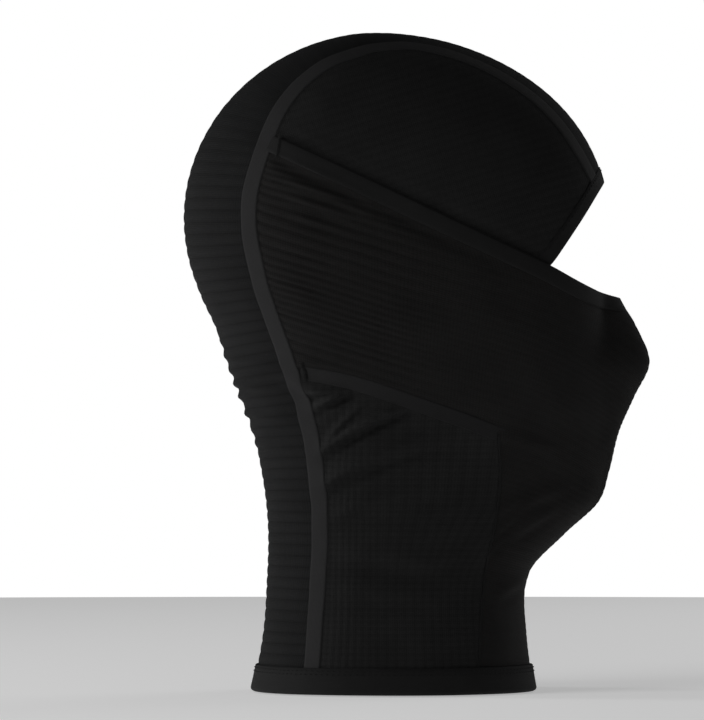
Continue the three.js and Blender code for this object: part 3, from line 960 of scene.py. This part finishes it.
def woven(name, grey, pitch, tint=(1, 1, 1), sheen=0.015, roughness=0.8, painted_shade_span=None):
    """Tape, binding, elastic or label: fine ribs of yarn along the strip, crossed by its weft.
    The last argument is the stretch along the strip over which painted shade darkens it."""
    c = Cloth(name)
    blotch = c.noise(0.09, 2)
    grain = c.noise(1.6, 2)
    warp = c.ribs(c.across, pitch, 0.8)
    weft = c.ribs(c.along, pitch * 0.8, 0.8)
    cell = c.maths("MULTIPLY", warp, weft)
    factor = c.maths("ADD", c.maths("MULTIPLY", blotch, 0.35), c.maths("MULTIPLY", grain, 0.3))
    factor = c.maths("ADD", factor, c.maths("MULTIPLY", cell, 0.35))
    # Painted shade: the strip's colour goes darker over this stretch.
    if painted_shade_span:
        left = c.maths("SUBTRACT", 1.0, c.maths("MULTIPLY", c.rise(c.along, *painted_shade_span), 0.9))
        factor = c.maths("MULTIPLY", factor, left)
    c.colour([grey * 0.7 * t for t in tint], [grey * 1.3 * t for t in tint], factor)
    c.bump(c.maths("ADD", cell, c.maths("MULTIPLY", grain, 0.4)), 0.45, 0.00018)
    return c.finish(roughness, sheen)


def yarn(name, grey):
    """Sewing thread: twisted plies."""
    c = Cloth(name)
    ply = c.noise(2.6, 2, (1, 3))
    c.colour([grey * 0.4] * 3, [grey * 1.6] * 3, ply)
    c.bump(ply, 0.4, 0.0001)
    return c.finish(0.7, 0.015)


WARM = (1.04, 1.0, 0.98)
COOL = (0.98, 1.0, 1.02)
# Each knit's depth values are painted shade in its grooves.
LOOKS = {
    "gore_knit": knit("gore knit", 0.0108, (3.9, GORE_PITCH), (0.08, 0.95), COOL, 0.3, RIBS_SET_IN),
    "temple_knit": knit("temple knit", 0.0165, (TEMPLE_CROSS, GRID_PITCH), (0.1, 0.2)),
    "mask_knit": knit("mask knit", 0.0131, (0, RIB_PITCH), (0, 0.12), WARM),
    "neck_knit": knit("neck knit", 0.0168, NECK_PITCH, (0.25, 0.2)),
    "seam_tape": woven("seam tape", 0.026, 0.7, (1.0, 0.99, 1.01)),
    # Jaw tape: the seam tape with painted shade, in a darker grey and darker still towards its front end.
    "jaw_tape": woven("jaw tape", 0.021, 0.7, (1.0, 0.99, 1.01), painted_shade_span=(15, 85)),
    "band": woven("band", 0.0145, 0.6),
    "elastic": woven("elastic", 0.02, 1.0),
    "thread": yarn("thread", 0.011),
    "label": woven("label", 0.42, 0.45, (1.0, 0.99, 0.96), 0.0, 0.7),
}


def finished(piece, look, body="hood", stands_for=()):
    """Gives a piece its material, hides the CAD nodes it stands for, and gives it the body it moves with.
    """
    piece.data.materials.clear()
    piece.data.materials.append(LOOKS[look])
    if stands_for:
        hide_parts(*stands_for)
    if body == "both":
        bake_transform(piece)
    else:
        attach(piece, body)


# ---- The balaclava's pieces ----

# Lowest and highest part of a tape and of the mask's band, from the surface the strips lie on.
TAPE_LOW, TAPE_HIGH = -0.8, 0.4
BAND_LOW, BAND_HIGH = -0.9, 1.65
TACK_STITCHES = 17
TACK_REACH = np.array([1.2, 0.2])      # half of a tack's stitch

# Each bar tack's name, its two ends in the side view, and the height it's sewn at.
TACKS = [
    ("upper", (-51.0, 74.5), (-52.5, 65.5), BAND_HIGH - 0.1),
    ("lower", (-41.8, -26.0), (-39.8, -34.0), TAPE_HIGH),
]

finished(gore_panel(), "gore_knit", stands_for=["centre_gore_panel"])
finished(mask_panel(), "mask_knit", "both",
         ["mask_front_panel", "left_cheek_panel", "right_cheek_panel", "chin_panel"])

for word, side in (("left", 1), ("right", -1)):
    finished(temple_panel(side, f"{word}_temple"), "temple_knit", stands_for=[f"{word}_temple_panel"])
    finished(neck_panel(side, f"{word}_neck"), "neck_knit", stands_for=[f"{word}_neck_panel"])

    seam = crown_line[-inside_by(crown_line[:, 0], crown_line[:, 1], EYE_OUTLINE) > 1.5]
    seam = resampled(on_side(seam[seam[:, 1] > HEM + 3], side), 1.6)
    tape = swept(f"{word}_crown_tape", seam, tape_profile(TAPE_WIDTH, TAPE_LOW, TAPE_HIGH), wobble=0.045)
    finished(tape, "seam_tape", stands_for=[f"{word}_crown_seam_tape"])

    jaw = np.vstack([jaw_line, ridge_line[1:]])
    # both ends sink into the cloth: the front one fades out, the rear one goes under the crown tape
    sinking = ease(jaw[:, 0], JAW_SEAM[-1][0] - 12, CHIN_RIDGE[-1][0])
    sinking += 1 - ease(jaw[:, 0], JAW_SEAM[0][0] + 2, JAW_SEAM[0][0] + 6)
    jaw = on_side(jaw, side)
    tape = swept(f"{word}_jaw_tape", jaw, tape_profile(JAW_TAPE_WIDTH, TAPE_LOW, TAPE_HIGH - 0.05),
                 lift=-0.9 * sinking, wobble=0.045)
    finished(tape, "jaw_tape", stands_for=[f"{word}_jaw_seam_tape"])

    chin = resampled(on_side(chin_line[chin_line[:, 1] > HEM + 3], side), 1.6)
    piece = swept(f"{word}_chin_seam_line", chin, tape_profile(1.8, -0.6, 0.2, 6))
    finished(piece, "thread", stands_for=[f"{word}_chin_seam"])

    for level, first, last, height in TACKS:
        runs = []
        for middle in np.linspace(first, last, TACK_STITCHES):
            start, end = on_side(np.array([middle - TACK_REACH, middle + TACK_REACH]), side)
            runs.append((start, end, height))
        piece = threads(f"{word}_{level}_tack_threads", runs, THREAD_RADIUS + 0.01)
        finished(piece, "thread", stands_for=[f"{word}_{level}_bar_tack"])

top = over_middle(top_line)
run = distance_along(top)
from_end = np.minimum(run, run[-1] - run)
tuck = -2.1 * (1 - ease(from_end, 1.5, 5.5))
band = swept("mask_top_band", top, folded_profile(BAND_WIDTH, BAND_LOW, BAND_HIGH, 0.7), lift=tuck,
             window=7)
finished(band, "band", "both", ["mask_top_band_front", "left_mask_top_band", "right_mask_top_band"])
strip = [(1.9, 0.15), (6.1, 0.15), (6.1, 0.95), (1.9, 0.95)]
elastic = swept("mask_top_elastic", top, strip, lift=tuck, window=7)
finished(elastic, "elastic", "both",
         ["mask_top_elastic_front", "left_mask_top_elastic", "right_mask_top_elastic"])

brow = over_middle(np.vstack([[(66.7, 12.0)], brow_line]))
run = distance_along(brow)
tuck = -1.5 * (1 - ease(np.minimum(run, run[-1] - run), 3, 12))
band = swept("brow_binding", brow, folded_profile(BAND_WIDTH, -2.0, 0.45, 0.4, -1), lift=tuck)
finished(band, "band", stands_for=["brow_band"])
stitches = stitch_row(brow, -6.4, 0.4)[3:-3]
finished(threads("brow_band_stitches", stitches, THREAD_RADIUS), "thread")

ring, _ = tilted_loft(HEM, HEM + 0.5, 1.0, 0.0, 400)
ring = to_world(ring[0]) / UNIT
ring = resampled(ring, 2.0)[:-1]
band = swept("neck_hem_binding", ring, folded_profile(HEM_DEPTH, -2.0, 1.1, 0.6), closed=True)
finished(band, "band", stands_for=["neck_hem_band"])
stitches = stitch_row(ring, HEM_DEPTH - 3, 1.1) + stitch_row(ring, HEM_DEPTH - 1.4, 1.1)
finished(threads("hem_stitches", stitches, THREAD_RADIUS), "thread")

low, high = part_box("care_label")
rise = np.linspace(low.z, high.z, 14) / UNIT
half = (high.x - low.x) / 2 / UNIT
back = np.stack([0 * rise, -reach_back(rise), rise], axis=1)
label = swept("care_label_tab", back, [(-half, -2.6), (half, -2.6), (half, -2.2), (0, -2.2), (-half, -2.2)])
finished(label, "label", stands_for=["care_label"])

# ---- Stage, light and camera ----

VIEW_WIDTH = 320.0             # what the frame shows at the wearer's middle, in millimetres
VIEW_CENTRE = (-19.6, -25.0)   # (front, up)
DISTANCE = 4.0
FLOOR_RADIUS = 1.6
FLOOR_GAP = 0.0006             # the hood's hem stays this clear of the floor


def pale(name, level, glow):
    """A matt, nearly even grey with a slight glow of its own."""
    material = bpy.data.materials.new(name)
    material.use_nodes = True
    tree = material.node_tree
    shader = tree.nodes["Principled BSDF"]
    shader.inputs["Roughness"].default_value = 0.9
    shader.inputs["Emission Color"].default_value = (1, 1, 1, 1)
    shader.inputs["Emission Strength"].default_value = glow
    noise = tree.nodes.new("ShaderNodeTexNoise")
    noise.inputs["Scale"].default_value = 6.0
    mix = tree.nodes.new("ShaderNodeMix")
    mix.data_type = "RGBA"
    mix.inputs["A"].default_value = (level, level, level, 1)
    mix.inputs["B"].default_value = (level * 0.98, level * 0.98, level * 0.985, 1)
    tree.links.new(noise.outputs["Fac"], mix.inputs["Factor"])
    tree.links.new(mix.outputs["Result"], shader.inputs["Base Color"])
    return material


bpy.ops.mesh.primitive_circle_add(vertices=96, radius=FLOOR_RADIUS, fill_type="NGON",
                                  location=(0, 0, HEM * UNIT - FLOOR_GAP))
floor = bpy.context.object
floor.name = "floor"
floor.data.materials.append(pale("pale floor", 0.9, 0.36))

world = bpy.context.scene.world or bpy.data.worlds.new("studio")
bpy.context.scene.world = world
world.use_nodes = True
shades = world.node_tree
seen = shades.nodes["Background"]
seen.inputs["Strength"].default_value = 1.0
seen.inputs["Color"].default_value = (1, 1, 1, 1)
lit = shades.nodes.new("ShaderNodeBackground")
lit.inputs["Strength"].default_value = 0.06
path = shades.nodes.new("ShaderNodeLightPath")
both = shades.nodes.new("ShaderNodeMixShader")
shades.links.new(path.outputs["Is Camera Ray"], both.inputs[0])
shades.links.new(lit.outputs[0], both.inputs[1])
shades.links.new(seen.outputs[0], both.inputs[2])
shades.links.new(both.outputs[0], shades.nodes["World Output"].inputs["Surface"])


def soft_light(name, place, size, power):
    """A square light that shines at the middle of the head."""
    data = bpy.data.lights.new(name, "AREA")
    data.shape = "SQUARE"
    data.size = size
    data.energy = power
    light = bpy.data.objects.new(name, data)
    bpy.context.scene.collection.objects.link(light)
    light.location = place
    light.visible_camera = False
    light.rotation_euler = (-Vector(place)).to_track_quat("-Z", "Y").to_euler()


soft_light("key", (0.4, 1.7, 0.08), 0.5, 11.5)
soft_light("fill", (-1.15, 1.3, 0.85), 1.0, 8.8)
soft_light("left_fill", (1.4, -1.2, 0.65), 1.0, 4.0)

camera = bpy.data.objects.new("camera", bpy.data.cameras.new("camera"))
bpy.context.scene.collection.objects.link(camera)
camera.data.sensor_fit = "HORIZONTAL"
camera.data.sensor_width = 36
camera.data.lens = 36 * DISTANCE / (VIEW_WIDTH * UNIT)
camera.data.clip_end = 20
camera.location = (-DISTANCE, -VIEW_CENTRE[0] * UNIT, VIEW_CENTRE[1] * UNIT)
camera.rotation_euler = (math.pi / 2, 0, -math.pi / 2)
bpy.context.scene.camera = camera
bpy.context.scene.view_settings.view_transform = "Standard"
